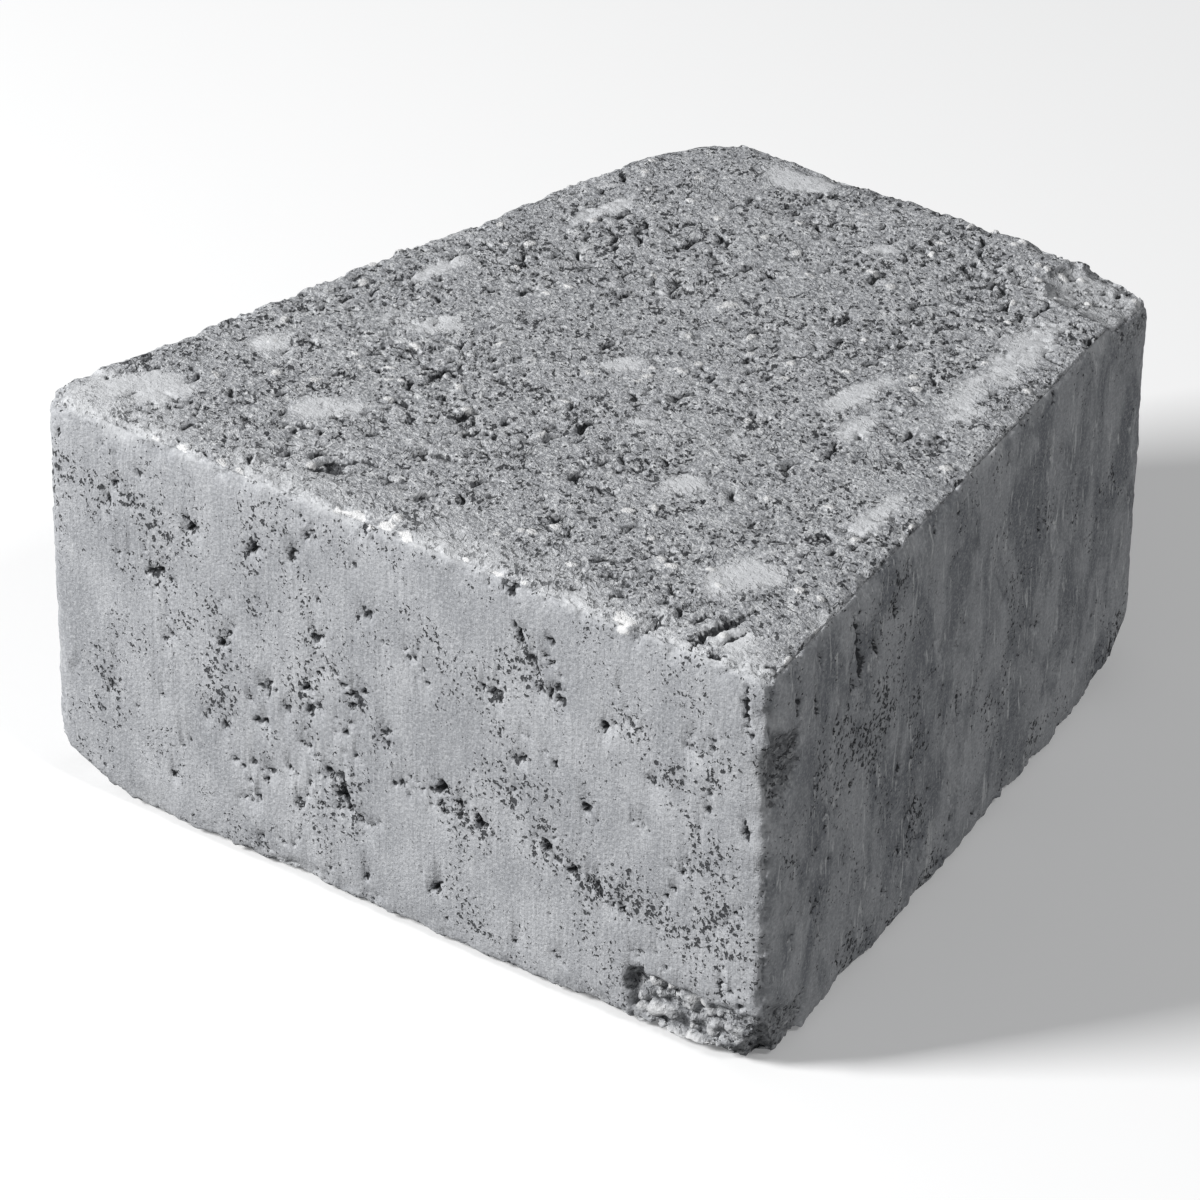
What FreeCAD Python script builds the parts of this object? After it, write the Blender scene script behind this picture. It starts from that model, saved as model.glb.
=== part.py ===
"""A tumbled concrete retaining wall block: one solid, tapered in plan, standing on its bed face.

The long visible face looks along -Y and the short earth-side face along +Y. The origin is at the centre of the
bed, with +Z up. All sizes are millimetres and live in the spreadsheet "Dimensions".
"""
import FreeCAD
import Part
import Sketcher
import os

doc = FreeCAD.newDocument("retaining_wall_block")

# Driving dimensions: alias, value, what it is.
DIMENSIONS = [
    ("front_width", 250, "width of the long, visible face between its virtual corners"),
    ("back_width", 160, "width of the short, earth-side face between its virtual corners"),
    ("block_depth", 248, "from the visible face to the earth-side face"),
    ("block_height", 122, "one course, from bed to top"),
    ("corner_radius", 10, "tumbled rounding of three of the upright edges"),
    ("crisp_corner_radius", 5, "rounding of the right front upright edge, which has kept its shape best"),
    ("top_arris_radius", 4, "tumbled rounding round the top face"),
    ("bed_arris_radius", 5, "tumbled rounding round the bed face"),
    # A spall is a shallow bowl broken out of an edge: an ellipsoid with its half sizes along X, Y and Z.
    ("foot_spall_inset", 23, "front foot spall: from the right front corner to its middle, along the face"),
    ("foot_spall_standoff", 7, "front foot spall: its centre lies this far outside the visible face"),
    ("foot_spall_drop", 3, "front foot spall: its centre lies this far under the bed"),
    ("foot_spall_half_x", 25, "front foot spall: half size along X"),
    ("foot_spall_half_y", 11, "front foot spall: half size along Y"),
    ("foot_spall_half_z", 19, "front foot spall: half size along Z"),
    ("edge_chip_inset", 1, "right front edge chip: its centre lies this far inside the virtual edge"),
    ("edge_chip_below_top", 27, "right front edge chip: from the top face down to its middle"),
    ("edge_chip_half_width", 8, "right front edge chip: half size along X and Y"),
    ("edge_chip_half_z", 11, "right front edge chip: half size along Z"),
    ("crown_spall_inset", 8, "right back top corner: centre inside the virtual corner, along X"),
    ("crown_spall_rise", 3, "right back top corner: its centre lies this far over the top face"),
    ("crown_spall_half_x", 21, "right back top corner: half size along X"),
    ("crown_spall_half_y", 14, "right back top corner: half size along Y"),
    ("crown_spall_half_z", 9, "right back top corner: half size along Z"),
    ("heel_spall_half_x", 14, "right back bed corner: half size along X"),
    ("heel_spall_half_y", 18, "right back bed corner: half size along Y"),
    ("heel_spall_half_z", 15, "right back bed corner: half size along Z"),
]


def add_dimensions():
    """The spreadsheet that every size is read from."""
    sheet = doc.addObject("Spreadsheet::Sheet", "Dimensions")
    for row, (alias, value, note) in enumerate(DIMENSIONS, start=1):
        sheet.set(f"A{row}", note)
        sheet.set(f"B{row}", str(value))
        sheet.setAlias(f"B{row}", alias)
    doc.recompute()
    return sheet


def origin_plane(body, role):
    """The body's own origin plane with that role."""
    return next(o for o in body.Origin.OriginFeatures if o.Role == role)


def constrain(sketch, name, constraint, expression):
    """Adds a constraint with a name and binds it to the sheet."""
    sketch.addConstraint(constraint)
    sketch.renameConstraint(sketch.ConstraintCount - 1, name)
    sketch.setExpression(f"Constraints.{name}", expression)


def add_plan(body, sheet):
    """The block's tapered outline on the bed plane, symmetric about the Y axis."""
    start, end, origin, y_axis = 1, 2, -1, -2
    front, right, back, left = range(4)
    half_front, half_back, half_depth = sheet.front_width / 2, sheet.back_width / 2, sheet.block_depth / 2
    corners = [
        FreeCAD.Vector(-half_front, -half_depth, 0),
        FreeCAD.Vector(half_front, -half_depth, 0),
        FreeCAD.Vector(half_back, half_depth, 0),
        FreeCAD.Vector(-half_back, half_depth, 0),
    ]
    sketch = body.newObject("Sketcher::SketchObject", "Plan")
    sketch.AttachmentSupport = [(origin_plane(body, "XY_Plane"), "")]
    sketch.MapMode = "FlatFace"
    for here, there in zip(corners, corners[1:] + corners[:1]):
        sketch.addGeometry(Part.LineSegment(here, there), False)
    for side, following in ((front, right), (right, back), (back, left), (left, front)):
        sketch.addConstraint(Sketcher.Constraint("Coincident", side, end, following, start))
    for side in (front, back):
        sketch.addConstraint(Sketcher.Constraint("Symmetric", side, start, side, end, y_axis))
    constrain(
        sketch,
        "front_width",
        Sketcher.Constraint("DistanceX", front, start, front, end, sheet.front_width),
        "Dimensions.front_width",
    )
    constrain(
        sketch,
        "back_width",
        Sketcher.Constraint("DistanceX", back, end, back, start, sheet.back_width),
        "Dimensions.back_width",
    )
    constrain(
        sketch,
        "depth",
        Sketcher.Constraint("DistanceY", front, start, back, end, sheet.block_depth),
        "Dimensions.block_depth",
    )
    constrain(
        sketch,
        "front_offset",
        Sketcher.Constraint("DistanceY", front, start, origin, start, half_depth),
        "Dimensions.block_depth / 2",
    )
    return sketch


def add_pad(body, sketch):
    """The plan raised to one course."""
    pad = body.newObject("PartDesign::Pad", "Course")
    pad.Profile = sketch
    pad.setExpression("Length", "Dimensions.block_height")
    doc.recompute()
    return pad


def edges_where(feature, test):
    """Names of a feature's edges whose box passes the test."""
    return [f"Edge{n}" for n, edge in enumerate(feature.Shape.Edges, start=1) if test(edge.BoundBox)]


def round_edges(body, base, name, radius, test):
    """A fillet over the edges of base that pass the test."""
    fillet = body.newObject("PartDesign::Fillet", name)
    fillet.Base = (base, edges_where(base, test))
    fillet.setExpression("Radius", radius)
    doc.recompute()
    return fillet


def near_crisp_corner(box, sheet):
    """True for the edges where the crisp corner's rounding meets the two faces beside it."""
    reach = 2 * sheet.crisp_corner_radius
    return box.XMin > sheet.front_width / 2 - reach and box.YMax < reach - sheet.block_depth / 2


def round_block(body, pad, sheet):
    """The tumbled rounding: upright edges first, then the loops round the top and the bed."""
    flat = 1e-6

    def upright(box):
        return box.ZLength > sheet.block_height / 2

    def right_front(box):
        return upright(box) and box.XMin > 0 and box.YMax < flat - sheet.block_depth / 2

    crisp = round_edges(body, pad, "CrispCorner", "Dimensions.crisp_corner_radius", right_front)
    corners = round_edges(
        body,
        crisp,
        "UprightEdges",
        "Dimensions.corner_radius",
        lambda b: upright(b) and b.XMax - b.XMin < flat and not near_crisp_corner(b, sheet),
    )
    top = round_edges(
        body,
        corners,
        "TopArris",
        "Dimensions.top_arris_radius",
        lambda b: b.ZLength < flat and b.ZMin > sheet.block_height / 2,
    )
    return round_edges(
        body,
        top,
        "BedArris",
        "Dimensions.bed_arris_radius",
        lambda b: b.ZLength < flat and b.ZMax < flat,
    )


def add_spall(body, name, half_sizes, centre):
    """A bowl broken out of an edge. half_sizes and centre are expressions along X, Y and Z."""
    before = body.Tip.Shape.Volume
    bowl = body.newObject("PartDesign::SubtractiveEllipsoid", name)
    for prop, expression in zip(("Radius2", "Radius3", "Radius1"), half_sizes):
        bowl.setExpression(prop, expression)
    for axis, expression in zip("xyz", centre):
        bowl.setExpression(f".Placement.Base.{axis}", expression)
    doc.recompute()
    if not bowl.Shape.Volume < before:
        raise RuntimeError(f"{name} cuts nothing")
    return bowl


def add_spalls(body):
    """The four breaks that are large enough to change the block's outline."""
    d = "Dimensions."
    add_spall(
        body,
        "FrontFootSpall",
        (d + "foot_spall_half_x", d + "foot_spall_half_y", d + "foot_spall_half_z"),
        (
            f"{d}front_width / 2 - {d}foot_spall_inset",
            f"-{d}block_depth / 2 - {d}foot_spall_standoff",
            f"-{d}foot_spall_drop",
        ),
    )
    add_spall(
        body,
        "RightEdgeChip",
        (d + "edge_chip_half_width", d + "edge_chip_half_width", d + "edge_chip_half_z"),
        (
            f"{d}front_width / 2 - {d}edge_chip_inset",
            f"-{d}block_depth / 2 + {d}edge_chip_inset",
            f"{d}block_height - {d}edge_chip_below_top",
        ),
    )
    add_spall(
        body,
        "BackCrownSpall",
        (d + "crown_spall_half_x", d + "crown_spall_half_y", d + "crown_spall_half_z"),
        (
            f"{d}back_width / 2 - {d}crown_spall_inset",
            f"{d}block_depth / 2",
            f"{d}block_height + {d}crown_spall_rise",
        ),
    )
    add_spall(
        body,
        "BackHeelSpall",
        (d + "heel_spall_half_x", d + "heel_spall_half_y", d + "heel_spall_half_z"),
        (f"{d}back_width / 2", f"{d}block_depth / 2", "0"),
    )


def check_document(parts):
    """Stops if anything failed to recompute or a part isn't one valid solid."""
    for thing in doc.Objects:
        if {"Invalid", "Error"} & set(thing.State):
            raise RuntimeError(f"{thing.Label} did not recompute: {thing.State}")
    for part in parts:
        shape = part.Shape
        if shape.isNull() or not shape.isValid() or len(shape.Solids) != 1:
            raise RuntimeError(f"{part.Label} is not one valid solid")


def main():
    sheet = add_dimensions()
    block = doc.addObject("PartDesign::Body", "Block")
    block.Label = "block"
    pad = add_pad(block, add_plan(block, sheet))
    round_block(block, pad, sheet)
    add_spalls(block)
    block.Placement = FreeCAD.Placement()
    doc.recompute()
    check_document([block])
    os.makedirs("parts", exist_ok=True)
    block.Shape.exportStep(f"parts/{block.Label}.step")
    box = block.Shape.optimalBoundingBox()
    litres = block.Shape.Volume / 1e6
    print(f"block: {box.XLength:.2f} x {box.YLength:.2f} x {box.ZLength:.2f} mm, {litres:.4f} litres")


main()
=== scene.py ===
"""A tumbled concrete retaining wall block: its worn, porous surface and a plain studio round it.

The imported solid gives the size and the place. The surface is one closed mesh, made as a fine lattice over
a rounded, tapered box, worn and pitted by depth maps, then thinned to the triangle limit. Lengths in the
modelling code are millimetres in the part's own frame: X to the right, Y away from the visible face, Z up
from the bed.
"""
import math

import bpy
import numpy as np
from mathutils import Matrix, Vector


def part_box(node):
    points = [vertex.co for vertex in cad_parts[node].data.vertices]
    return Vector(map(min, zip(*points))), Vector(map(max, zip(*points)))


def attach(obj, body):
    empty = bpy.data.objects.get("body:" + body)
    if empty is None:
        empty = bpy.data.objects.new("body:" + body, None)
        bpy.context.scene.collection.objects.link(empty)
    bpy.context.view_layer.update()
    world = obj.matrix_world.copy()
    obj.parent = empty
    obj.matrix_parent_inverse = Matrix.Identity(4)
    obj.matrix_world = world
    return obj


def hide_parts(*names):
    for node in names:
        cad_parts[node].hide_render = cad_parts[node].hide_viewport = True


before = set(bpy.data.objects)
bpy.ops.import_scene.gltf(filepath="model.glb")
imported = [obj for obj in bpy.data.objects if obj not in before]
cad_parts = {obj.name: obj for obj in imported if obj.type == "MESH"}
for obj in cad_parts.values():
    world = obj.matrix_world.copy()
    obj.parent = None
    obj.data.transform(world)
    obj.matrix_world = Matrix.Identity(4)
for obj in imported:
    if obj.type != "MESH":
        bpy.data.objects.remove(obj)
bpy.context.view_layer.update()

MM = 0.001
block_low, block_high = (np.array(corner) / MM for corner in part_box("block"))

# The solid's main sizes. Widths are between virtual corners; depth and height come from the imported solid.
FRONT_WIDTH = 250.0
BACK_WIDTH = 160.0
DEPTH = block_high[1] - block_low[1]
HEIGHT = block_high[2] - block_low[2]
CORNER_RADIUS = 10.0
CRISP_CORNER_RADIUS = 4.5  # the right front corner is hardly rounded
ARRIS_RADIUS = 3.2
HALF = np.array([FRONT_WIDTH, DEPTH, HEIGHT]) / 2

BOX_MARGIN = 0.02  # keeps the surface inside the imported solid's box
STEP_REACH = 14.0  # how far under the top the sides are squeezed to make room for the step
LATTICE_STEP = 0.6
TRIANGLE_LIMIT = 196_000
FACE_NAMES = (("left", "right"), ("front", "back"), ("bed", "top"))


# ---------------------------------------------------------------- noise


def noise(points, wavelength, seed):
    """Smooth value noise from -1 to 1, the same on every run.

    The wavelength is one length, or one for each axis.
    """
    scaled = points / wavelength
    cells = np.floor(scaled).astype(np.int64)
    part = scaled - cells
    part = part * part * (3 - 2 * part)
    keys = [
        [((cells[:, axis] + end) * prime & 0xFFFFFFFF).astype(np.uint32) for end in (0, 1)]
        for axis, prime in enumerate((73856093, 19349663, 83492791))
    ]
    total = np.zeros(len(points))
    for corner in np.ndindex(2, 2, 2):
        key = keys[0][corner[0]] ^ keys[1][corner[1]] ^ keys[2][corner[2]]
        key ^= np.uint32(seed * 2654435761 & 0xFFFFFFFF)
        for shift, factor in ((15, 2246822519), (13, 3266489917)):
            key ^= key >> np.uint32(shift)
            key *= np.uint32(factor)
        key ^= key >> np.uint32(16)
        weight = 1.0
        for axis, end in enumerate(corner):
            weight = weight * (part[:, axis] if end else 1 - part[:, axis])
        total += weight * key
    return total / 2**31 - 1


# A turn between one octave of noise and the next, so that the noise's cells don't show.
OCTAVE_TURN = np.linalg.qr(np.array(((0.8, 0.5, -0.3), (-0.4, 0.9, 0.3), (0.5, -0.2, 0.8))))[0]


def fractal(points, wavelength, seed, octaves=3, gain=0.55):
    """Noise summed over halving wavelengths, kept near -1 to 1.

    With one wavelength the axes are turned between octaves. With one for each axis they stay as they are.
    """
    total = np.zeros(len(points))
    strength = 1.0
    for octave in range(octaves):
        if np.ndim(wavelength) == 0:
            points = points @ OCTAVE_TURN
        total += strength * noise(points, np.asarray(wavelength) / 2**octave, seed + 17 * octave)
        strength *= gain
    return total * (1 - gain) / (1 - gain**octaves) * 1.6


def rise(value, start, end):
    """0 below start, 1 above end and a smooth step between."""
    t = np.clip((value - start) / (end - start), 0, 1)
    return t * t * (3 - 2 * t)


# ---------------------------------------------------------------- the lattice and its rounded shape


def make_lattice(half, step):
    """Points on a box's surface and the quads between them, plus each face's grid of point numbers."""
    counts = [max(4, round(2 * h / step)) for h in half]
    sizes = tuple(count + 1 for count in counts)
    ids, quads = {}, []
    for axis, names in enumerate(FACE_NAMES):
        along, across = (axis + 1) % 3, (axis + 2) % 3
        for side, name in enumerate(names):
            index = [None, None, None]
            index[along], index[across] = np.meshgrid(
                np.arange(counts[along] + 1), np.arange(counts[across] + 1), indexing="ij"
            )
            index[axis] = np.full_like(index[along], side * counts[axis])
            ids[name] = np.ravel_multi_index(tuple(index), sizes)
    numbers = np.concatenate([grid.ravel() for grid in ids.values()])
    unique, inverse = np.unique(numbers, return_inverse=True)
    index = np.stack(np.unravel_index(unique, sizes), axis=1)
    points = index / np.array(counts) * 2 * half - half
    grids, start = {}, 0
    for name, grid in ids.items():
        grids[name] = inverse[start : start + grid.size].reshape(grid.shape)
        start += grid.size
    for names in FACE_NAMES:
        for side, name in enumerate(names):
            grid = grids[name]
            loop = [grid[:-1, :-1], grid[1:, :-1], grid[1:, 1:], grid[:-1, 1:]]
            if side == 0:
                loop.reverse()
            quads.append(np.stack([part.ravel() for part in loop], axis=1))
    return points, np.concatenate(quads), grids


def rounded(points):
    """The box's points moved onto the rounded block: arrises first, then the four upright corners."""
    inner = np.clip(points, -(HALF - ARRIS_RADIUS), HALF - ARRIS_RADIUS)
    out = points - inner
    shaped = inner + out / np.linalg.norm(out, axis=1, keepdims=True) * ARRIS_RADIUS
    above = np.clip(np.abs(shaped[:, 2]) - (HALF[2] - ARRIS_RADIUS), 0, ARRIS_RADIUS)
    crisp = (points[:, 0] > 0) & (points[:, 1] < 0)
    radius = np.where(crisp, CRISP_CORNER_RADIUS, CORNER_RADIUS)
    reach = radius - ARRIS_RADIUS + np.sqrt(ARRIS_RADIUS**2 - above**2)
    centre = HALF[:2] - radius[:, None]
    over = np.abs(shaped[:, :2]) - centre
    length = np.hypot(*np.clip(over, 1e-9, None).T)
    corner = (over > 0).all(axis=1) & (length > reach)
    pulled = over[corner] * (reach[corner] / length[corner])[:, None] + centre[corner]
    shaped[corner, :2] = pulled * np.sign(shaped[corner, :2])
    return shaped


def tapered(points):
    """The box narrowed towards the back and stood on its bed."""
    narrowing = 1 + (BACK_WIDTH / FRONT_WIDTH - 1) * (points[:, 1] + HALF[1]) / DEPTH
    same = np.ones(len(points))
    return points * np.stack([narrowing, same, same], axis=1) + (0, 0, HALF[2])


def normals_of(points, quads):
    """Smooth outward normals, weighted by area."""
    corners = points[quads]
    facing = np.cross(corners[:, 2] - corners[:, 0], corners[:, 3] - corners[:, 1])
    total = np.zeros_like(points)
    for k in range(4):
        for axis in range(3):
            total[:, axis] += np.bincount(quads[:, k], facing[:, axis], minlength=len(points))
    return total / np.maximum(np.linalg.norm(total, axis=1, keepdims=True), 1e-12)


# ---------------------------------------------------------------- breaks and wear

# Corners knocked off in the tumbler: (which corner, as signs along X, Y and Z, how far the facet reaches
# along X, Y and Z).
CORNER_FACETS = (
    ((-1, -1, -1), (30, 17, 17)),
    ((1, -1, -1), (14, 16, 19)),
    ((-1, -1, 1), (17, 13, 9)),
    ((1, -1, 1), (7, 8, 6)),
    ((1, 1, 1), (18, 11, 8)),
    ((1, 1, -1), (16, 22, 19)),
    ((-1, 1, 1), (14, 18, 15)),
    ((-1, 1, -1), (20, 17, 21)),
)


def virtual_corner(signs):
    """The sharp corner that the rounding and the wear have taken away."""
    width = FRONT_WIDTH if signs[1] < 0 else BACK_WIDTH
    return np.array([signs[0] * width / 2, signs[1] * DEPTH / 2, HEIGHT if signs[2] > 0 else 0.0])


def knock_off_corners(points):
    """Cuts each corner back to an uneven facet. Returns the points and how fresh the break is."""
    fresh = np.zeros(len(points))
    for number, (signs, reach) in enumerate(CORNER_FACETS):
        facing = np.array(signs) / np.array(reach, float)
        size = np.linalg.norm(facing)
        facing /= size
        near = np.linalg.norm(points - virtual_corner(signs), axis=1) < 2.2 * max(reach)
        here = points[near]
        proud = (here - virtual_corner(signs)) @ facing + 1 / size
        proud += 0.9 * fractal(here, 9.0, 300 + number, 3) + 0.3 * fractal(here, 2.4, 320 + number, 2)
        cut = np.logaddexp(0, proud)  # a plane whose rim is rounded over a millimetre or so
        points[near] = here - cut[:, None] * facing
        fresh[near] = np.maximum(fresh[near], rise(cut, 0.9, 2.4))
    return points, fresh


def edge_distance(box_points):
    """How far each lattice point is from the nearest arris, along its face."""
    return np.sort(HALF - np.abs(box_points), axis=1)[:, 1]


def step_down(points):
    """Lowers the top's far right corner a few millimetres. Returns the points and how far each has sunk."""
    level = points * (1, 1, 0)
    away = np.linalg.norm((level - (BACK_WIDTH / 2 - 4, DEPTH / 2 - 13, 0)) / (23, 20, 1), axis=1)
    inside = 1 - away + 0.14 * fractal(level, 5.0, 404, 3)
    sunk = 4.4 * np.clip(inside, 0, 1) ** 0.4
    sunk *= np.clip(1 - (HEIGHT - points[:, 2]) / STEP_REACH, 0, 1)
    return points - sunk[:, None] * (0, 0, 1), sunk


def broken_hollows():
    """The large spalls, each an uneven ellipsoid: (centre, half sizes, depth, power).

    The smaller the power, the steeper the rim.
    """
    right, front, top, far_right, back = FRONT_WIDTH / 2, -DEPTH / 2, HEIGHT, BACK_WIDTH / 2, DEPTH / 2
    return (
        # The chip in the right front corner, and its lower end
        ((right + 1.0, front + 8, top - 30), (7.5, 13.0, 11.0), 6.0, 0.6),
        ((right - 0.5, front + 1, top - 33), (3.0, 4.5, 6.0), 2.4, 0.6),
        # The slot across the front arris
        ((right - 44, front + 1, top - 0.5), (2.8, 9.0, 7.0), 2.4, 0.6),
        # The right heel
        ((far_right + 6, back - 22, 1), (9, 13, 7), 5.6, 0.65),
        # Scallops along the right side's foot
        ((right - 12.5, front + 18, -2), (9, 15, 6), 4.8, 0.65),
        ((right - 24.0, front + 78, -3), (8, 13, 6), 4.8, 0.65),
        ((right - 32.5, front + 128, -2.5), (8, 12, 5.5), 4.4, 0.65),
        ((right - 37.0, front + 160, -2.5), (7, 10, 5), 4.0, 0.65),
    )


def hollow_out(points, normals):
    """Depth of the broken hollows at each point, along the inward normal."""
    depth = np.zeros(len(points))
    for number, (centre, half, deep, power) in enumerate(broken_hollows()):
        near = np.linalg.norm(points - centre, axis=1) < 2.0 * max(half)
        here = points[near]
        inside = 1 - np.linalg.norm((here - centre) / half, axis=1)
        inside += 0.20 * fractal(here, 5.0, 400 + number, 3)
        depth[near] = np.maximum(depth[near], np.clip(inside, 0, 1) ** power * deep)
    return depth


# ---------------------------------------------------------------- stamps on the faces


class Face:
    """One face's grid of lattice points, and the depths of the marks pressed into it."""

    def __init__(self, grid, points, normals, depth):
        self.grid, self.points, self.depth = grid, points, depth
        middle = grid[grid.shape[0] // 2, grid.shape[1] // 2]
        self.normal = normals[middle]
        up = np.array([0, 1.0, 0]) if abs(self.normal[2]) > 0.9 else np.array([0, 0, 1.0])
        self.right = np.cross(up, self.normal)
        self.right /= np.linalg.norm(self.right)
        self.up = np.cross(self.normal, self.right)

    def window(self, row, column, radius):
        """The lattice points within a radius of a grid place, and where they lie from it along the face."""
        reach = int(radius / (LATTICE_STEP * 0.6)) + 2
        rows = slice(max(row - reach, 0), row + reach + 1)
        columns = slice(max(column - reach, 0), column + reach + 1)
        patch = self.grid[rows, columns]
        away = self.points[patch] - self.points[self.grid[row, column]]
        return patch, away @ self.right, away @ self.up

    def place(self, point):
        """The grid place nearest to a point, looking straight at the face."""
        away = self.points[self.grid] - point
        away -= (away @ self.normal)[..., None] * self.normal
        return np.unravel_index(np.argmin((away**2).sum(axis=2)), self.grid.shape)

    def press(self, patch, mark):
        """Adds a mark's depth where it is deeper than what is there."""
        self.depth[patch] = np.maximum(self.depth[patch], mark)

    def pit(self, row, column, length, width, turn, depth, ragged):
        """A steep-walled hole with an uneven rim."""
        patch, x, y = self.window(row, column, max(length, width) * 1.4)
        u = (x * math.cos(turn) + y * math.sin(turn)) / length
        v = (y * math.cos(turn) - x * math.sin(turn)) / width
        angle = np.arctan2(v, u)
        rim = 1 + 0.22 * np.sin(3 * angle + ragged) + 0.15 * np.sin(5 * angle - 2.3 * ragged)
        self.press(patch, depth * np.clip((rim - np.hypot(u, v)) * 1.8, 0, 1))

    def crescent(self, row, column, radius, width, turn, span, depth):
        """A curved crack, like the one left round a grain that has lifted."""
        patch, x, y = self.window(row, column, radius + 2 * width)
        angle = (np.arctan2(y, x) - turn + math.pi) % (2 * math.pi) - math.pi
        fade = np.clip((1 - np.abs(angle) / span) * 2.2, 0, 1)
        off = np.abs(np.hypot(x, y) - radius) / (width * (0.35 + 0.65 * fade))
        self.press(patch, depth * fade * np.clip((1.25 - off) * 1.5, 0, 1))

    def random_places(self, random, count, margin, seed):
        """Grid places gathered into loose clusters, at least a margin from the face's rim."""
        rows, columns = (size - 2 * margin for size in self.grid.shape)
        spots = self.points[self.grid[margin:-margin, margin:-margin].ravel()]
        level = 0.5 + 0.5 * fractal(spots, 26.0, seed, 2) + 0.25 * noise(spots, 7.0, seed + 5)
        share = np.clip((level - 0.42) * 2.6, 0.05, 1)
        chosen = random.choice(len(spots), count, p=share / share.sum())
        return np.stack(np.divmod(chosen, columns), axis=1) + margin


def pit_side(face, random, count, seed):
    """Blow holes in a moulded side: singles, and ragged groups of a few that run together."""
    for row, column in face.random_places(random, count, 4, seed):
        members = 1 + int(random.random() ** 3 * 6)
        size = 0.75 + 0.75 * random.random() ** 2
        for _ in range(members):
            step = np.rint(random.normal(0, 1.5, 2) / LATTICE_STEP).astype(int) * (members > 1)
            place = np.clip((row, column) + step, 3, np.array(face.grid.shape) - 4)
            long = size * random.uniform(0.8, 1.4)
            face.pit(*place, long, long * random.uniform(0.55, 1.0), random.uniform(0, math.pi),
                     random.uniform(0.5, 1.35) * (0.6 + 0.5 * size), random.uniform(0, 6.28))


def crack_top(face, random, count, seed):
    """Crescent cracks and ragged pores between the grains of the rough top."""
    for row, column in face.random_places(random, count, 6, seed):
        if random.random() < 0.36:
            face.crescent(row, column, random.uniform(1.4, 5.2), random.uniform(0.45, 0.85),
                          random.normal(2.3, 1.2), random.uniform(0.4, 1.1), random.uniform(0.7, 1.6))
        else:
            size = 0.65 + 0.9 * random.random() ** 2
            face.pit(row, column, size * random.uniform(1.0, 1.8), size * random.uniform(0.5, 0.9),
                     random.uniform(0, math.pi), random.uniform(0.4, 1.2) * size, random.uniform(0, 6.28))


# How many marks each face has, and how many stones stand out of the top and in the broken foot.
SIDE_PITS = (("front", 150), ("right", 130), ("left", 260), ("back", 200))
TOP_MARKS = 1300
BED_MARKS = 300
LIFTED_GRAINS = 110
FOOT_PEBBLES = 95

# Deep voids in the visible face: (X, Z, half length, half width, turn, depth).
FRONT_VOIDS = (
    (18, 49, 2.8, 2.0, 0.9, 3.2),
    (-20, 39, 3.0, 1.2, 2.2, 2.2),
    (-15, 33, 3.4, 2.2, 2.1, 3.2),
    (-9, 28, 2.2, 1.2, 2.6, 2.2),
    (16, 17, 2.0, 1.7, 0.2, 2.8),
    (24, 46, 2.0, 1.2, 2.3, 2.2),
    (31, 43, 3.0, 1.3, 1.6, 2.4),
    (54, 44, 4.2, 1.8, 2.3, 2.4),
    (62, 41, 2.0, 1.4, 0.6, 2.6),
    (70, 39, 3.4, 1.4, 2.5, 2.4),
    (79, 35, 2.8, 1.2, 2.4, 2.0),
    (72, 89, 1.7, 1.4, 0.4, 2.4),
    (66, 62, 2.0, 1.5, 0.9, 2.2),
    (44, 106, 3.6, 1.1, 1.9, 1.8),
    (49, 99, 3.4, 1.1, 2.1, 1.8),
    (54, 92, 2.4, 1.0, 1.5, 1.6),
    (-81, 80, 4.2, 1.6, 0.5, 2.0),
    (-68, 99, 3.0, 1.6, 2.3, 2.2),
    (-46, 100, 2.6, 1.6, 0.9, 2.2),
    (-24, 80, 2.6, 1.4, 0.3, 2.0),
    (-28, 63, 2.2, 1.3, 0.2, 2.0),
    (-58, 66, 2.0, 1.4, 0.8, 2.2),
    (105, 76, 1.2, 0.9, 1.7, 1.6),
    (88, 78, 1.3, 0.8, 1.4, 1.5),
    (117, 74, 0.9, 3.4, 0.2, 1.6),
)

# Patches of open, porous concrete in the visible face: (X, Z, half width, half height, tilt, how open).
FRONT_POROUS = (
    (-110, 100, 14, 8, -0.05, 1.15),
    (-85, 99, 14, 5, -0.12, 1.15),
    (-68, 97, 7, 6, -0.3, 0.9),
    (-47, 97, 8, 10, 0.0, 1.0),
    (-86, 79, 9, 6, 0.3, 0.8),
    (-60, 60, 6, 19, 0.0, 0.9),
    (-28, 63, 7, 6, 0.2, 0.8),
    (-18, 84, 12, 6, -0.3, 0.6),
    (-100, 36, 12, 7, -0.2, 0.7),
    (-15, 33, 11, 6, -0.9, 0.9),
    (24, 44, 14, 6, -0.5, 0.9),
    (40, 60, 12, 8, 0.2, 0.6),
    (60, 41, 18, 8, -0.25, 1.0),
    (84, 40, 15, 7, -0.4, 0.9),
    (48, 98, 6, 13, 0.6, 0.8),
    (84, 92, 12, 10, 0.0, 0.6),
    (108, 48, 8, 24, 0.1, 0.9),
    (100, 84, 12, 10, 0.0, 0.5),
    (30, 82, 14, 8, 0.2, 0.5),
    (14, 92, 12, 6, 0.0, 0.6),
    (28, 14, 20, 6, 0.0, 0.5),
)

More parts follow.
